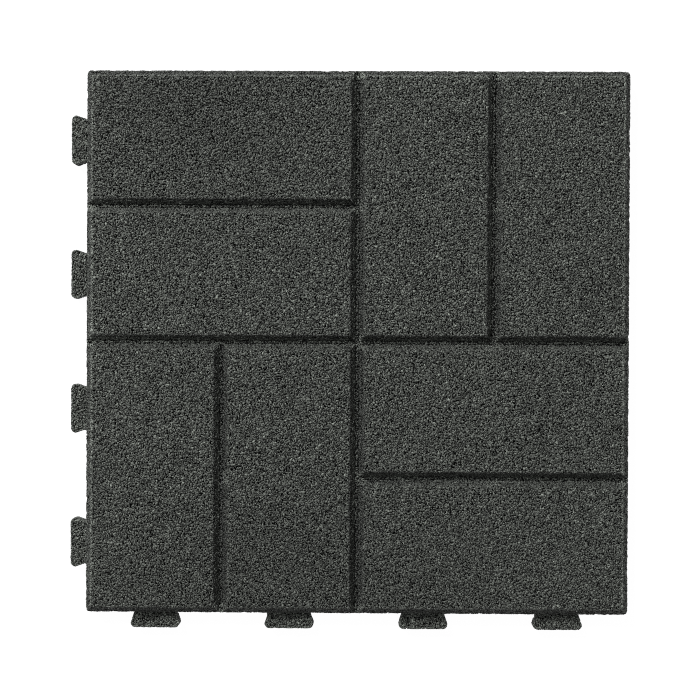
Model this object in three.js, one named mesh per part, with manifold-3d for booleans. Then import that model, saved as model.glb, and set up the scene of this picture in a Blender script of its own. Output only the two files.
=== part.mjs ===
// Interlocking rubber paver, moulded in one piece from bonded crumb rubber.
// The top is pressed into eight bricks in a basket weave. Four dovetail tabs stand out of the
// left side and four out of the front side, and matching sockets are sunk into the underside
// along the right and back sides, so that a field of pavers locks together.
// Millimetres. +X right, +Y back, +Z up; the origin is the middle of the square underside.
import * as THREE from 'three';
import { mergeVertices } from 'three/addons/utils/BufferGeometryUtils.js';
import Module from 'manifold-3d';

const wasm = await Module();
wasm.setup();

// The body
const side = 406.4;
const thickness = 19;
const bodyCornerRadius = 4.2;

// The grooves between the bricks, the slope of the same depth along the outer edge, and the
// small slope that breaks each brick's top edge
const grooveDepth = 5.6;
const grooveFloorWidth = 2;
const grooveSlopeRun = 3.6;
const edgeSlopeRun = 4.4;
const brickArrisHeight = 0.5;
const brickArrisRun = 0.8;

// The tabs and the sockets that take the tabs of the next paver
const tabsPerSide = 4;
const tabPitch = 101;
const tabThickness = 9.5;
const tabLength = 12.4;
const tabNeckWidth = 31.2;
const tabHeadWidth = 37.2;
const tabCornerRadius = 3.8;
const socketClearance = 0.5;

// How far one solid reaches into its neighbour before they are joined or cut
const overlap = 1;
const arcSegments = 6;

const brickBase = thickness - grooveDepth;
const brickLength = side / 2;
const brickWidth = side / 4;

function solidFrom(geometry) {
  geometry.deleteAttribute('normal');
  geometry.deleteAttribute('uv');
  const merged = mergeVertices(geometry, 1e-5);
  return new wasm.Manifold(new wasm.Mesh({
    numProp: 3,
    vertProperties: new Float32Array(merged.attributes.position.array),
    triVerts: new Uint32Array(merged.index.array),
  }));
}

function geometryFrom(solid) {
  const { vertProperties, triVerts } = solid.getMesh();
  const geometry = new THREE.BufferGeometry();
  geometry.setAttribute('position', new THREE.BufferAttribute(vertProperties, 3));
  geometry.setIndex(new THREE.BufferAttribute(triVerts, 1));
  geometry.computeVertexNormals();
  return geometry;
}

function roundedSquare(width, radius) {
  const half = width / 2;
  const shape = new THREE.Shape();
  shape.absarc(half - radius, half - radius, radius, 0, Math.PI / 2);
  shape.absarc(radius - half, half - radius, radius, Math.PI / 2, Math.PI);
  shape.absarc(radius - half, radius - half, radius, Math.PI, 1.5 * Math.PI);
  shape.absarc(half - radius, radius - half, radius, 1.5 * Math.PI, 2 * Math.PI);
  return shape;
}

// The body's plan raised to a height: the slab up to the floor of the grooves, and the block
// that the moulded bricks are kept inside
function bodyBlock(height) {
  const geometry = new THREE.ExtrudeGeometry(roundedSquare(side, bodyCornerRadius), {
    depth: height,
    bevelEnabled: false,
    curveSegments: arcSegments,
  });
  return solidFrom(geometry);
}

// A closed solid between level rectangles, each given as { low, high, z } from the bottom up
function stackedRectangles(levels) {
  const corners = levels.flatMap(({ low, high, z }) => [
    [low.x, low.y, z],
    [high.x, low.y, z],
    [high.x, high.y, z],
    [low.x, high.y, z],
  ]);
  const top = 4 * (levels.length - 1);
  const faces = [0, 2, 1, 0, 3, 2, top, top + 1, top + 2, top, top + 2, top + 3];
  for (let below = 0; below < top; below += 4) {
    for (let k = 0; k < 4; k += 1) {
      const a = below + k;
      const b = below + (k + 1) % 4;
      faces.push(a, b, b + 4, a, b + 4, a + 4);
    }
  }
  const geometry = new THREE.BufferGeometry();
  geometry.setAttribute('position', new THREE.Float32BufferAttribute(corners.flat(), 3));
  geometry.setIndex(faces);
  return geometry;
}

// One brick stands on the slab with sloping sides. At the paver's edge its foot is flush with the
// body, and elsewhere half a groove floor lies between its foot and the middle of the groove.
function brick(low, high) {
  const atEdge = (value) => Math.abs(Math.abs(value) - side / 2) < overlap;
  const atFoot = (value) => (atEdge(value) ? 0 : grooveFloorWidth / 2);
  const atArris = (value) => atFoot(value) + (atEdge(value) ? edgeSlopeRun : grooveSlopeRun);
  const atTop = (value) => atArris(value) + brickArrisRun;
  const level = (z, inset) => ({
    low: { x: low.x + inset(low.x), y: low.y + inset(low.y) },
    high: { x: high.x - inset(high.x), y: high.y - inset(high.y) },
    z,
  });
  return solidFrom(stackedRectangles([
    level(brickBase - overlap, atFoot),
    level(brickBase, atFoot),
    level(thickness - brickArrisHeight, atArris),
    level(thickness, atTop),
  ]));
}

// Basket weave: a pair of bricks in each quarter, lying across in two quarters and along in two
function bricks() {
  const solids = [];
  for (const column of [0, 1]) {
    for (const row of [0, 1]) {
      const lyingAcross = column !== row;
      const size = lyingAcross ? [brickLength, brickWidth] : [brickWidth, brickLength];
      const step = lyingAcross ? [0, brickWidth] : [brickWidth, 0];
      for (const place of [0, 1]) {
        const x = (column - 1) * brickLength + place * step[0];
        const y = (row - 1) * brickLength + place * step[1];
        solids.push(brick({ x, y }, { x: x + size[0], y: y + size[1] }));
      }
    }
  }
  return solids;
}

// Plan of a dovetail that starts inside the wall at x = 0 and stands out along +x.
// The clearance is zero for a tab, and makes a socket that much bigger all round.
function dovetail(clearance) {
  const length = tabLength + clearance;
  const halfNeck = tabNeckWidth / 2 + clearance;
  const halfHead = tabHeadWidth / 2 + clearance;
  const radius = tabCornerRadius + clearance;
  const arcX = length - radius;
  const arcY = halfHead - radius;
  const shape = new THREE.Shape();
  shape.moveTo(-overlap, -halfNeck);
  shape.lineTo(0, -halfNeck);
  shape.absarc(arcX, -arcY, radius, -Math.PI / 2, 0);
  shape.absarc(arcX, arcY, radius, 0, Math.PI / 2);
  shape.lineTo(0, halfNeck);
  shape.lineTo(-overlap, halfNeck);
  return shape;
}

// A row of dovetail prisms that starts in a wall, standing out of it in the direction of turn,
// an angle about +Z. The wall lies through the point at.
function dovetailRow({ clearance, bottom, top, turn, at }) {
  const prisms = [];
  for (let k = 0; k < tabsPerSide; k += 1) {
    const geometry = new THREE.ExtrudeGeometry(dovetail(clearance), {
      depth: top - bottom,
      bevelEnabled: false,
      curveSegments: arcSegments,
    });
    geometry.translate(0, (k - (tabsPerSide - 1) / 2) * tabPitch, bottom);
    geometry.rotateZ(turn);
    geometry.translate(at.x, at.y, 0);
    prisms.push(solidFrom(geometry));
  }
  return prisms;
}

function tabs() {
  const size = { clearance: 0, bottom: 0, top: tabThickness };
  return [
    ...dovetailRow({ ...size, turn: Math.PI, at: { x: -side / 2, y: 0 } }),
    ...dovetailRow({ ...size, turn: -Math.PI / 2, at: { x: 0, y: -side / 2 } }),
  ];
}

// The sockets are open at the underside and at the side wall, and closed above
function sockets() {
  const size = {
    clearance: socketClearance,
    bottom: -overlap,
    top: tabThickness + socketClearance,
  };
  return [
    ...dovetailRow({ ...size, turn: Math.PI, at: { x: side / 2, y: 0 } }),
    ...dovetailRow({ ...size, turn: -Math.PI / 2, at: { x: 0, y: side / 2 } }),
  ];
}

function paver() {
  const slab = bodyBlock(brickBase);
  const envelope = bodyBlock(thickness);
  const moulded = bricks().map((piece) => piece.intersect(envelope));
  const joined = [...moulded, ...tabs()].reduce((body, piece) => body.add(piece), slab);
  const cut = sockets().reduce((body, piece) => body.subtract(piece), joined);
  const material = new THREE.MeshStandardMaterial({
    color: 0x3c3e3b,
    roughness: 0.9,
    metalness: 0,
  });
  const mesh = new THREE.Mesh(geometryFrom(cut), material);
  mesh.name = 'paver';
  return mesh;
}

const interlockingPaver = new THREE.Group();
interlockingPaver.add(paver());

export default interlockingPaver;
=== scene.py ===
import math

import bpy
import numpy as np
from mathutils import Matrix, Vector, noise
from mathutils.bvhtree import BVHTree


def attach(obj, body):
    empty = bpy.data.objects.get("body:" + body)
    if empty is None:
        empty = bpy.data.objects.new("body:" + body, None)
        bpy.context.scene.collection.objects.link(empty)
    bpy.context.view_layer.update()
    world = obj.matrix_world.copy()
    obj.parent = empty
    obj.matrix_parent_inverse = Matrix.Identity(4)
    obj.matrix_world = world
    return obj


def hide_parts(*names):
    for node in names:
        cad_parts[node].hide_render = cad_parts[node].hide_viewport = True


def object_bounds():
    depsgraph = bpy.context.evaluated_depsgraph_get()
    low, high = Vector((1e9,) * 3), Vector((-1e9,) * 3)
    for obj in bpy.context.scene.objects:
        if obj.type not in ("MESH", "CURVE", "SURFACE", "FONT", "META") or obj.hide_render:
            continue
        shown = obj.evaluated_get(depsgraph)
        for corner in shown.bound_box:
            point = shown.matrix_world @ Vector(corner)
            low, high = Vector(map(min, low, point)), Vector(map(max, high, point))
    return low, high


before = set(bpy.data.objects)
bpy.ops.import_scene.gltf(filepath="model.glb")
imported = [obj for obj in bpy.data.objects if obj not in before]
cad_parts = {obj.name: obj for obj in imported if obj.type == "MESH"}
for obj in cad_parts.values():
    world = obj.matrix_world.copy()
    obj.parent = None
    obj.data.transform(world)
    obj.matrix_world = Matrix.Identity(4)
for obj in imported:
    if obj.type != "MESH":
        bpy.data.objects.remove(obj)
cad_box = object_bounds()

MM = 0.001
NODE = "paver"

# Camera, fitted to the four corners of the body in the photograph
LENS_MM = 65.6
SENSOR_MM = 36
CLIP_START = 10 * MM
CAMERA_AT = (3.17 * MM, 1.09 * MM, 968.18 * MM)
CAMERA_TURN_DEG = (-0.4003, 0.5145, 0.2625)

# One soft lamp at the picture's upper left
LAMP_AT = (-1.58, 2.17, 2.25)
LAMP_SIZE = 0.9
LAMP_WATTS = 290

# The surround: white walls and a dimmer ceiling, with a soft change between these heights of the
# direction looked in, where 0 is level and 1 is straight up
WALLS_END = 0.28
CEILING_START = 0.45
CEILING_GREY = 0.54

# The floor, which glows white and takes hardly any shadow
FLOOR_SIZE = 80
FLOOR_DROP = 0.5 * MM
FLOOR_GREY = 0.05
FLOOR_ROUGHNESS = 0.9
FLOOR_GLOW = 0.97

# Heights and widths of the moulded shape that the crumb follows
SIDE = 406.4 * MM
TOP = 19 * MM
BRICK_WIDTH = SIDE / 4
GROOVE_DEPTH = 5.6 * MM
GROOVE_HALF_FLOOR = 1 * MM
BOTTOM_BAND = 1 * MM

# A face counts as looking along an axis where its unit normal's part along it is more than FACING,
# and as level where its part along the vertical is more than LEVEL
FACING = 0.3
LEVEL = 0.9

# How far in from the paver's side the outer slope ends, the worn rim begins and ends, and the mouths
# of the grooves end
SLOPE_END = 4.4 * MM
RIM_OUTER = 4.0 * MM
RIM_INNER = 5.7 * MM
MOUTH = 7.5 * MM

# How far below the top the rim reaches, and half the width of a crossing and of a groove's mouth
RIM_HEIGHT = 2 * MM
JUNCTION = 5.5 * MM
MOUTH_HALF_WIDTH = JUNCTION - 1 * MM

# How far out of the front wall the necks of the tabs begin and end, where painted light lifts the
# wall's shadow
NECK_START = 0.1 * MM
NECK_END = 4 * MM

# Depths below the top, as shares of a groove's: the lowest moulded face, and where a groove and the
# mouth of one begin
MOULDED_DEPTH = 1.1
GROOVE_BEGINS = 0.02
MOUTH_BEGINS = 0.05

# Tones: what a chip's place multiplies its shade by, as painted light and shade. A pair is a middle
# tone and its swing: with the way that a slope faces, or from the middle of a groove's floor to its
# edge below the shaded wall.
SIDE_SLOPE_TONE = (0.84, 0.14)
END_SLOPE_TONE = (0.52, 0.08)
ACROSS_FLOOR_TONE = (1.2, 0.7)
ACROSS_WALL_TONE = 0.75
ALONG_FLOOR_TONE = (0.58, 0.2)
ALONG_WALL_TONE = 0.46
FRONT_HALF_TONE = 0.85
CROSSING_TONE = 1
LIT_MOUTH_TONE = 1.6
MOUTH_TONE = 1.2
LEFT_TAB_TONE = 1.15
NECK_TONE = 1.6

# A groove's shaded wall, painted darker, has its tone at the top and the gain from there down to the
# floor. The grooves that run across gain this share more at the left side, as painted light from the
# lamp's side, fading over the reach.
SHADED_WALL_TONE = (0.2, 1.1)
LEFT_FADE = 1.1
LEFT_FADE_REACH = 45 * MM

# What is added to the shade on the rim, partly a paler pressed edge and partly a painted highlight,
# at the left and at the back and right, and the palest shade of all. Nothing is added at the front,
# which looks away from the lamp.
LEFT_RIM_PALE = 0.34
RIM_PALE = 0.27
PALEST = 0.92

# Wide patches of darker crumb, each with its middle and reach in millimetres and its strength, and
# how many times wider than deep they are
PATCHES = (
    (-120, 175, 85, 0.3),
    (-60, -165, 60, 0.24),
    (60, -180, 60, 0.15),
    (-160, -190, 40, 0.15),
)
PATCH_STRETCH = 1.4

# The body behind the chips lies this far below the moulded faces, and less far behind the walls,
# so that the outline stays crisp
BODY_INSET = 2.0 * MM
WALL_INSET = 0.9 * MM

# Chips of crumb: about one in each cell of the spacing, finer above than on the hidden underside.
# The cells are shifted, so that no moulded face lies on the border of two.
TOP_SPACING = 1.1 * MM
TOP_RADIUS = (0.95 * MM, 1.6 * MM)
UNDER_SPACING = 2.3 * MM
UNDER_RADIUS = (1.8 * MM, 2.8 * MM)
TRIES_PER_CELL = 6
CELL_SHIFT = 0.371
CHIPS_PER_PIECE = 48000
SEED = 20

# A chip's shape, as shares of its radius: how far out its corners are, and their scatter
CHIP_STRETCH = (0.5, 1.4)
CHIP_JITTER = 0.2

# How deep a chip's middle is sunk, how deep at most the corners that stood out are pressed, and how
# far below the moulded surface every vertex stays in the end
CHIP_SINK = (0.1 * MM, 0.9 * MM)
CHIP_LID_MM = 0.12
ROOM_MM = (0.01, 0.12)

# Crumb has broken away in dents in the walls and slopes, which are the faces whose unit normals'
# vertical part is less than DENTED_BELOW.
DENT_DEPTH = 1.4 * MM
DENT_SIZE = 2.4 * MM
DENTED_BELOW = 0.95

# Shades of the chips, from 0, darkest, to 1, palest: their spread, and the shares of odd ones
SHADE_SPREAD = (3, 3.6)
DARK_SHARE = 0.06
DARK_FACTOR = 0.15
PALE_SHARE = 0.025
PALE_SHADE = 0.9

# The rubber: greys at five shades, the tint that each grey takes, its gloss, and the fine grain on
# a chip
RUBBER_GREYS = ((0, 0.004), (0.25, 0.028), (0.6, 0.057), (0.85, 0.086), (1, 0.18))
RUBBER_TINT = (0.98, 1.065, 0.94)
RUBBER_ROUGHNESS = 0.55
RUBBER_SPECULAR = 0.3
GRAIN_SCALE = 1100
GRAIN_DETAIL = 3
GRAIN_HEIGHT = 0.12 * MM

# Each chip's square on the colour map keeps this share of its cell free on every side
CELL_MARGIN = 0.3

# Tolerances: the distance at which vertices are one, the area below which a triangle has no say in
# the inset, the shortest length to divide by, and what keeps the inset solvable on flat ground
WELD = 0.001 * MM
SLIVER = 1e-12
TINY = 1e-15
DAMPING = 1e-4

# A nearest point is on an edge where the height above it is less than this share of the distance.
# The faces that meet there are looked for a hair further out, and faces whose normals are the same
# to so many decimals count as one.
EDGE_SHARE = 0.999
SEARCH_FACTOR = 1.0001
SEARCH_MARGIN = 1e-7
NORMAL_DECIMALS = 4


def new_object(name, vertices, faces):
    """A mesh object from an array of vertices and one of triangles."""
    mesh = bpy.data.meshes.new(name)
    mesh.vertices.add(len(vertices))
    mesh.vertices.foreach_set("co", vertices.astype(np.float32).ravel())
    mesh.loops.add(3 * len(faces))
    mesh.loops.foreach_set("vertex_index", faces.astype(np.int32).ravel())
    mesh.polygons.add(len(faces))
    mesh.polygons.foreach_set("loop_start", np.arange(0, 3 * len(faces), 3, dtype=np.int32))
    mesh.update(calc_edges=True)
    made = bpy.data.objects.new(name, mesh)
    bpy.context.scene.collection.objects.link(made)
    return made


def arrays_of(thing):
    """A mesh's vertices and triangles, with the vertices at one place made one."""
    mesh = thing.data
    mesh.calc_loop_triangles()
    places = np.empty(3 * len(mesh.vertices), np.float32)
    mesh.vertices.foreach_get("co", places)
    corners = np.empty(3 * len(mesh.loop_triangles), np.int32)
    mesh.loop_triangles.foreach_get("vertices", corners)
    places = places.reshape(-1, 3).astype(float)
    steps = np.round(places / WELD).astype(int)
    _, first, welded = np.unique(steps, axis=0, return_index=True, return_inverse=True)
    triangles = welded.ravel()[corners].reshape(-1, 3)
    return places[first], triangles


def unit(vectors):
    return vectors / np.maximum(np.linalg.norm(vectors, axis=-1, keepdims=True), TINY)


def normals_of(places, triangles):
    """Each triangle's unit normal and area."""
    a, b, c = (places[triangles[:, k]] for k in range(3))
    cross = np.cross(b - a, c - a)
    length = np.linalg.norm(cross, axis=1)
    return cross / np.maximum(length, TINY)[:, None], length / 2


def inset(places, triangles):
    """The vertices moved so that every face lies its depth further in."""
    normals, area = normals_of(places, triangles)
    weight = (area > SLIVER).astype(float)
    depth = np.where(np.abs(normals[:, 2]) < FACING, WALL_INSET, BODY_INSET)[:, None]
    planes = np.zeros((len(places), 3, 3))
    pull = np.zeros((len(places), 3))
    for k in range(3):
        outer = normals[:, :, None] * normals[:, None, :] * weight[:, None, None]
        np.add.at(planes, triangles[:, k], outer)
        np.add.at(pull, triangles[:, k], -depth * normals * weight[:, None])
    planes += DAMPING * np.eye(3)
    return places + np.linalg.solve(planes, pull[:, :, None])[:, :, 0]


def scatter(places, triangles, spacing, rng):
    """Points over the triangles with about one in each cell of the spacing, and their normals."""
    normals, area = normals_of(places, triangles)
    count = int(TRIES_PER_CELL * area.sum() / spacing**2)
    chosen = rng.choice(len(area), count, p=area / area.sum())
    u, v = rng.random((2, count))
    folded = u + v > 1
    u[folded], v[folded] = 1 - u[folded], 1 - v[folded]
    a, b, c = (places[triangles[chosen, k]] for k in range(3))
    points = a + u[:, None] * (b - a) + v[:, None] * (c - a)
    cells = np.floor(points / spacing + CELL_SHIFT).astype(int)
    _, first = np.unique(cells, axis=0, return_index=True)
    return points[first], normals[chosen][first]


def turned(count, rng):
    """Random turns, as an array of matrices."""
    turns = np.linalg.qr(rng.normal(size=(count, 3, 3)))[0]
    turns[np.linalg.det(turns) < 0, :, 0] *= -1
    return turns


def chips(points, normals, radius, rng):
    """One jittered tetrahedron for each point, pressed flat where it meets the mould's face."""
    count = len(points)
    tetrahedron = np.array([(1, 1, 1), (1, -1, -1), (-1, 1, -1), (-1, -1, 1)]) / math.sqrt(3)
    sides = np.array([(0, 1, 2), (0, 2, 3), (0, 3, 1), (1, 3, 2)])
    shape = tetrahedron * rng.uniform(*CHIP_STRETCH, (count, 4, 1))
    shape = shape + rng.normal(0, CHIP_JITTER, (count, 4, 3))
    shape = np.einsum("nij,nkj->nki", turned(count, rng), shape)
    shape *= rng.uniform(*radius, (count, 1, 1))
    # The local frame's third axis is the surface normal.
    level = np.abs(normals[:, 2:]) >= LEVEL
    aside = unit(np.cross(normals, np.where(level, (1, 0, 0), (0, 0, 1))))
    along = np.cross(normals, aside)
    basis = np.stack([aside, along, normals], 1)
    sink = rng.uniform(*CHIP_SINK, (count, 1))
    lid = -rng.uniform(0, CHIP_LID_MM, (count, 4)) * MM
    shape[..., 2] = np.minimum(shape[..., 2] - sink, lid)
    placed = points[:, None] + np.einsum("nki,nij->nkj", shape, basis)
    faces = sides[None] + 4 * np.arange(count)[:, None, None]
    return placed.reshape(-1, 3), faces.reshape(-1, 3)


def nearest_face(place, tree):
    """The nearest point of the moulded shape, the normal there and the place's height above it."""
    near, normal, _, distance = tree.find_nearest(place)
    height = (place - near).dot(normal)
    if abs(height) < EDGE_SHARE * distance:
        # The nearest point is on an edge, where the faces that meet decide together.
        found = tree.find_nearest_range(place, distance * SEARCH_FACTOR + SEARCH_MARGIN)
        faces = {tuple(round(part, NORMAL_DECIMALS) for part in hit[1]) for hit in found}
        normal = sum((Vector(face) for face in faces), Vector()).normalized()
        height = (place - near).dot(normal)
    return near, normal, height


def keep_inside(vertices, tree, rng):
    """Presses the vertices that stand out of the moulded shape back to just below its surface."""
    room = rng.uniform(*ROOM_MM, len(vertices)) * MM
    for index, (place, gap) in enumerate(zip(vertices.tolist(), room.tolist())):
        place = Vector(place)
        near, normal, height = nearest_face(place, tree)
        if abs(normal.z) < DENTED_BELOW:
            gap += DENT_DEPTH * max(0, noise.noise(place / DENT_SIZE))
        if height > -gap:
            vertices[index] = near - normal * gap
    low, high = (np.array(corner) for corner in cad_box)
    np.clip(vertices, low, high, out=vertices)


def rubber(name):
    """Matt charcoal rubber. Each chip has its own shade, and the gaps between chips, where the body
    shows, are darkest, partly as painted shade.
    """
    material = bpy.data.materials.new(name)
    material.use_nodes = True
    nodes = material.node_tree.nodes
    links = material.node_tree.links
    nodes.clear()
    output = nodes.new("ShaderNodeOutputMaterial")
    shader = nodes.new("ShaderNodeBsdfPrincipled")
    links.new(shader.outputs["BSDF"], output.inputs["Surface"])
    shader.inputs["Roughness"].default_value = RUBBER_ROUGHNESS
    shader.inputs["Specular IOR Level"].default_value = RUBBER_SPECULAR
    place = nodes.new("ShaderNodeTexCoord")
    shade = nodes.new("ShaderNodeAttribute")
    shade.attribute_name = "shade"
    shades = nodes.new("ShaderNodeValToRGB")
    ramp = shades.color_ramp
    while len(ramp.elements) < len(RUBBER_GREYS):
        ramp.elements.new(0.5)
    for element, (at, grey) in zip(ramp.elements, RUBBER_GREYS):
        element.position = at
        element.color = (*(grey * share for share in RUBBER_TINT), 1)
    links.new(shade.outputs["Fac"], shades.inputs["Fac"])
    links.new(shades.outputs["Color"], shader.inputs["Base Color"])
    grain = nodes.new("ShaderNodeTexNoise")
    grain.inputs["Scale"].default_value = GRAIN_SCALE
    grain.inputs["Detail"].default_value = GRAIN_DETAIL
    links.new(place.outputs["Object"], grain.inputs["Vector"])
    bump = nodes.new("ShaderNodeBump")
    bump.inputs["Strength"].default_value = 1
    bump.inputs["Distance"].default_value = GRAIN_HEIGHT
    links.new(grain.outputs["Fac"], bump.inputs["Height"])
    links.new(bump.outputs["Normal"], shader.inputs["Normal"])
    return material


def unfold(thing, count):
    """Gives each chip a cell of its own on the colour map, with its four vertices at a square."""
    across = math.ceil(math.sqrt(count))
    low, high = CELL_MARGIN, 1 - CELL_MARGIN
    corners = np.array([(low, low), (high, low), (high, high), (low, high)])
    index = np.arange(count)
    cells = np.stack([index % across, index // across], 1)
    spots = ((cells[:, None] + corners[None]) / across).reshape(-1, 2)
    loops = np.empty(len(thing.data.loops), np.int32)
    thing.data.loops.foreach_get("vertex_index", loops)
    layer = thing.data.uv_layers.new(name="OFBake")
    layer.data.foreach_set("uv", spots[loops].astype(np.float32).ravel())


def set_shade(thing, values):
    """Gives each vertex its share of the way from the darkest rubber to the palest."""
    layer = thing.data.attributes.new("shade", "FLOAT", "POINT")
    layer.data.foreach_set("value", values.astype(np.float32))


def body(places, triangles):
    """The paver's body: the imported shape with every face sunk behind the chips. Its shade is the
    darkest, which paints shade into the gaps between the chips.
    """
    low, high = (np.array(corner) for corner in cad_box)
    made = new_object("paver_body", np.clip(inset(places, triangles), low, high), triangles)
    set_shade(made, np.zeros(len(places)))
    return made


def from_side(at, normals):
    """How far in from the paver's side each point is, and how far its face looks out that way."""
    from_middle = np.abs(at[:, :2])
    outward = np.where(
        from_middle[:, 0] > from_middle[:, 1],
        normals[:, 0] * np.sign(at[:, 0]),
        normals[:, 1] * np.sign(at[:, 1]),
    )
    return SIDE / 2 - from_middle.max(1), outward


def tone_slope(tone, slope, normals):
    """The outer slope, darker at the back and front than at the left and right. This is painted
    light and shade, which swing with the way each slope faces the lamp.
    """
    facing = normals[slope]
    sideways = np.abs(facing[:, 0]) > FACING
    side_tone = SIDE_SLOPE_TONE[0] + SIDE_SLOPE_TONE[1] * facing[:, 0]
    end_tone = END_SLOPE_TONE[0] + END_SLOPE_TONE[1] * facing[:, 1]
    tone[slope] = np.where(sideways, side_tone, end_tone)


def tone_grooves(tone, groove, depth, grid, at, normals):
    """The grooves, with painted shade: darkest at the top of the walls that look away from the lamp.
    """
    level = normals[:, 2] > LEVEL
    shaded = (normals[:, 0] > FACING) | (normals[:, 1] < -FACING)
    across = np.abs(grid[:, 0]) > np.abs(grid[:, 1])
    # From the lit side of a groove's floor, -1, to the side below the shaded wall, 1
    lean = np.clip(np.where(across, grid[:, 1], -grid[:, 0]) / GROOVE_HALF_FLOOR, -1, 1)
    across_floor = ACROSS_FLOOR_TONE[0] + ACROSS_FLOOR_TONE[1] * lean
    along_floor = ALONG_FLOOR_TONE[0] + ALONG_FLOOR_TONE[1] * lean
    across_tone = np.where(level, across_floor, ACROSS_WALL_TONE)
    along_tone = np.where(level, along_floor, ALONG_WALL_TONE)
    tone[groove] = np.where(across, across_tone, along_tone)[groove]
    dark = groove & shaded
    tone[dark] = SHADED_WALL_TONE[0] + SHADED_WALL_TONE[1] * depth[dark]
    tone[groove & ~across & (at[:, 1] < 0)] *= FRONT_HALF_TONE
    # Painted light: the grooves that run across are paler towards the left side, where the lamp is.
    faded = groove & across & (level | shaded)
    from_left = at[faded, 0] + SIDE / 2
    tone[faded] *= 1 + LEFT_FADE * np.exp(-from_left / LEFT_FADE_REACH)
    # At the crossings the painted shade is taken off the floors and the lit walls.
    crossing = np.abs(grid).max(1) < JUNCTION
    tone[groove & crossing & ~shaded] = CROSSING_TONE


def tone_tabs(tone, at, normals):
    """The tabs, a little paler at the left, and much paler on the necks of the front ones, as
    painted light that lifts the shadow of the wall behind them.
    """
    tone[at[:, 0] < -SIDE / 2] = LEFT_TAB_TONE
    out = -SIDE / 2 - at[:, 1]
    neck = (out > NECK_START) & (out < NECK_END) & (normals[:, 2] > LEVEL)
    tone[neck] = NECK_TONE


def tone_patches(tone, moulded, at):
    """Darkens the moulded crumb a little in a few wide patches."""
    for x, y, reach, change in PATCHES:
        aside = at[moulded, 0] - x * MM
        back = (at[moulded, 1] - y * MM) * PATCH_STRETCH
        tone[moulded] *= 1 - change * np.exp(-(np.hypot(aside, back) / (reach * MM))**2)


def shades_with_painted_light(shade, at, normals):
    """The chips' shades, with light and shade painted in by place: darker down in the grooves and on
    the outer slope, paler on the rim.
    """
    edge, outward = from_side(at, normals)
    depth = (TOP - at[:, 2]) / GROOVE_DEPTH
    upward = normals[:, 2] > FACING
    moulded = (depth < MOULDED_DEPTH) & upward
    # Where each point is from the nearest crossing of the lines that the grooves follow
    grid = at[:, :2] - BRICK_WIDTH * np.round(at[:, :2] / BRICK_WIDTH)

    tone = np.ones(len(shade))
    tone_slope(tone, (edge > 0) & (edge < SLOPE_END) & (outward > FACING) & upward, normals)
    groove = moulded & (edge > RIM_INNER) & (depth > GROOVE_BEGINS)
    tone_grooves(tone, groove, depth, grid, at, normals)
    mouth = moulded & (edge > 0) & (edge < MOUTH) & (outward < FACING) & (depth > MOUTH_BEGINS)
    mouth &= np.abs(grid).min(1) < MOUTH_HALF_WIDTH
    # Painted light in the grooves' mouths, most in the mouths at the left and at the back, which are
    # nearest to the lamp.
    lit = (at[mouth, 0] < -SIDE / 3) | (at[mouth, 1] > SIDE / 3)
    tone[mouth] = np.where(lit, LIT_MOUTH_TONE, MOUTH_TONE)
    tone_tabs(tone, at, normals)
    tone_patches(tone, moulded, at)

    # The rim: a paler pressed edge with a painted highlight, most at the left, nearest the lamp, and
    # none at the front.
    rim = (edge > RIM_OUTER) & (edge < RIM_INNER) & (at[:, 2] > TOP - RIM_HEIGHT)
    pale = np.zeros(len(shade))
    pale[rim] = np.where(at[rim, 0] < RIM_INNER - SIDE / 2, LEFT_RIM_PALE, RIM_PALE)
    pale[rim & (at[:, 1] < RIM_INNER - SIDE / 2)] = 0
    return np.minimum(shade * tone + pale, PALEST)


def crumb(name, points, normals, radius, tree, rng):
    """Chips at all the points, as a few meshes side by side."""
    order = np.argsort(points[:, 1], kind="stable")
    points, normals = points[order], normals[order]
    made = []
    pieces = math.ceil(len(points) / CHIPS_PER_PIECE)
    for number, part in enumerate(np.array_split(np.arange(len(points)), pieces)):
        vertices, faces = chips(points[part], normals[part], radius, rng)
        keep_inside(vertices, tree, rng)
        piece = new_object(f"{name}_{number + 1}", vertices, faces)
        shade = rng.beta(*SHADE_SPREAD, len(part))
        kind = rng.random(len(part))
        shade[kind < DARK_SHARE] *= DARK_FACTOR
        shade[kind > 1 - PALE_SHARE] = PALE_SHADE
        shade = shades_with_painted_light(shade, points[part], normals[part])
        set_shade(piece, np.repeat(shade, 4))
        unfold(piece, len(part))
        made.append(piece)
    return made


def set_camera():
    data = bpy.data.cameras.new("camera")
    data.lens = LENS_MM
    data.sensor_width = SENSOR_MM
    data.clip_start = CLIP_START
    camera = bpy.data.objects.new("camera", data)
    camera.location = CAMERA_AT
    camera.rotation_euler = [math.radians(angle) for angle in CAMERA_TURN_DEG]
    bpy.context.scene.collection.objects.link(camera)
    bpy.context.scene.camera = camera


def add_floor():
    """A white floor that glows, a hair below the paver."""
    bpy.ops.mesh.primitive_plane_add(size=FLOOR_SIZE, location=(0, 0, -FLOOR_DROP))
    floor = bpy.context.object
    floor.name = "floor"
    material = bpy.data.materials.new("floor_white")
    material.use_nodes = True
    shader = material.node_tree.nodes["Principled BSDF"]
    shader.inputs["Base Color"].default_value = (FLOOR_GREY, FLOOR_GREY, FLOOR_GREY, 1)
    shader.inputs["Roughness"].default_value = FLOOR_ROUGHNESS
    shader.inputs["Specular IOR Level"].default_value = 0
    shader.inputs["Emission Color"].default_value = (1, 1, 1, 1)
    shader.inputs["Emission Strength"].default_value = FLOOR_GLOW
    floor.data.materials.append(material)


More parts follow.
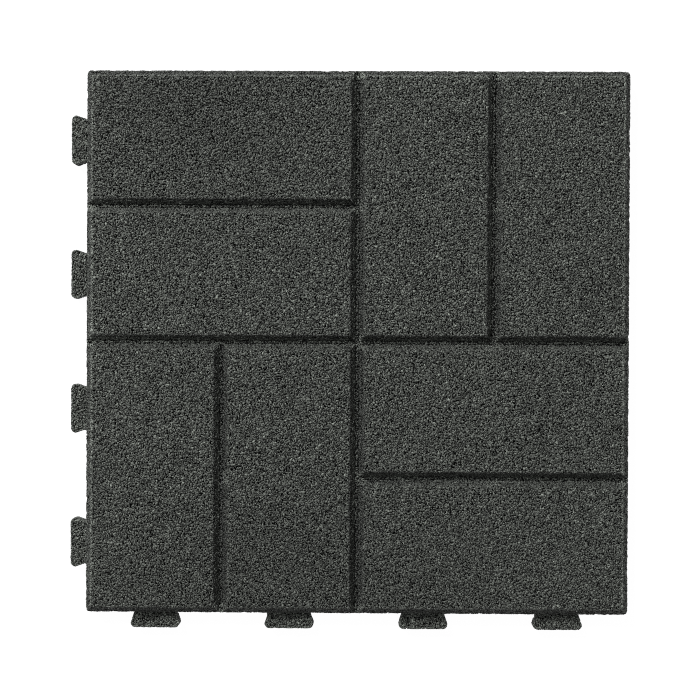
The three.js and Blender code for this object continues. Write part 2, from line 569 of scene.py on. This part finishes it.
def add_surround():
    """White walls round the floor, and a dimmer ceiling."""
    world = bpy.data.worlds.new("surround")
    world.use_nodes = True
    nodes = world.node_tree.nodes
    links = world.node_tree.links
    towards = nodes.new("ShaderNodeTexCoord")
    parts = nodes.new("ShaderNodeSeparateXYZ")
    glow = nodes.new("ShaderNodeValToRGB")
    walls, ceiling = glow.color_ramp.elements
    walls.position, walls.color = WALLS_END, (1, 1, 1, 1)
    ceiling.position = CEILING_START
    ceiling.color = (CEILING_GREY, CEILING_GREY, CEILING_GREY, 1)
    links.new(towards.outputs["Generated"], parts.inputs["Vector"])
    links.new(parts.outputs["Z"], glow.inputs["Fac"])
    links.new(glow.outputs["Color"], nodes["Background"].inputs["Color"])
    bpy.context.scene.world = world


def add_lamp():
    data = bpy.data.lights.new("key", "AREA")
    data.shape = "DISK"
    data.size = LAMP_SIZE
    data.energy = LAMP_WATTS
    lamp = bpy.data.objects.new("key", data)
    lamp.location = LAMP_AT
    lamp.rotation_euler = (-Vector(LAMP_AT)).to_track_quat("-Z", "Y").to_euler()
    bpy.context.scene.collection.objects.link(lamp)


def build():
    """The body and its crumb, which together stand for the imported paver."""
    places, triangles = arrays_of(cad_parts[NODE])
    tree = BVHTree.FromPolygons(places.tolist(), triangles.tolist())
    normals, _ = normals_of(places, triangles)
    height = places[triangles][:, :, 2].max(1)
    under = (normals[:, 2] < -FACING) & (height < BOTTOM_BAND)
    rng = np.random.default_rng(SEED)
    skin = body(places, triangles)
    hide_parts(NODE)
    above = scatter(places, triangles[~under], TOP_SPACING, rng)
    below = scatter(places, triangles[under], UNDER_SPACING, rng)
    pieces = [skin]
    pieces += crumb("crumb_above", *above, TOP_RADIUS, tree, rng)
    pieces += crumb("crumb_below", *below, UNDER_RADIUS, tree, rng)
    material = rubber("rubber_crumb")
    for piece in pieces:
        piece.data.materials.append(material)
        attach(piece, "root")


set_camera()
add_floor()
add_surround()
add_lamp()
build()

# The photograph is crisp, so the grain is neither denoised nor blurred by a wide pixel filter.
scene = bpy.context.scene
scene.view_settings.view_transform = "Standard"
scene.cycles.use_denoising = False
scene.cycles.filter_width = 1.0
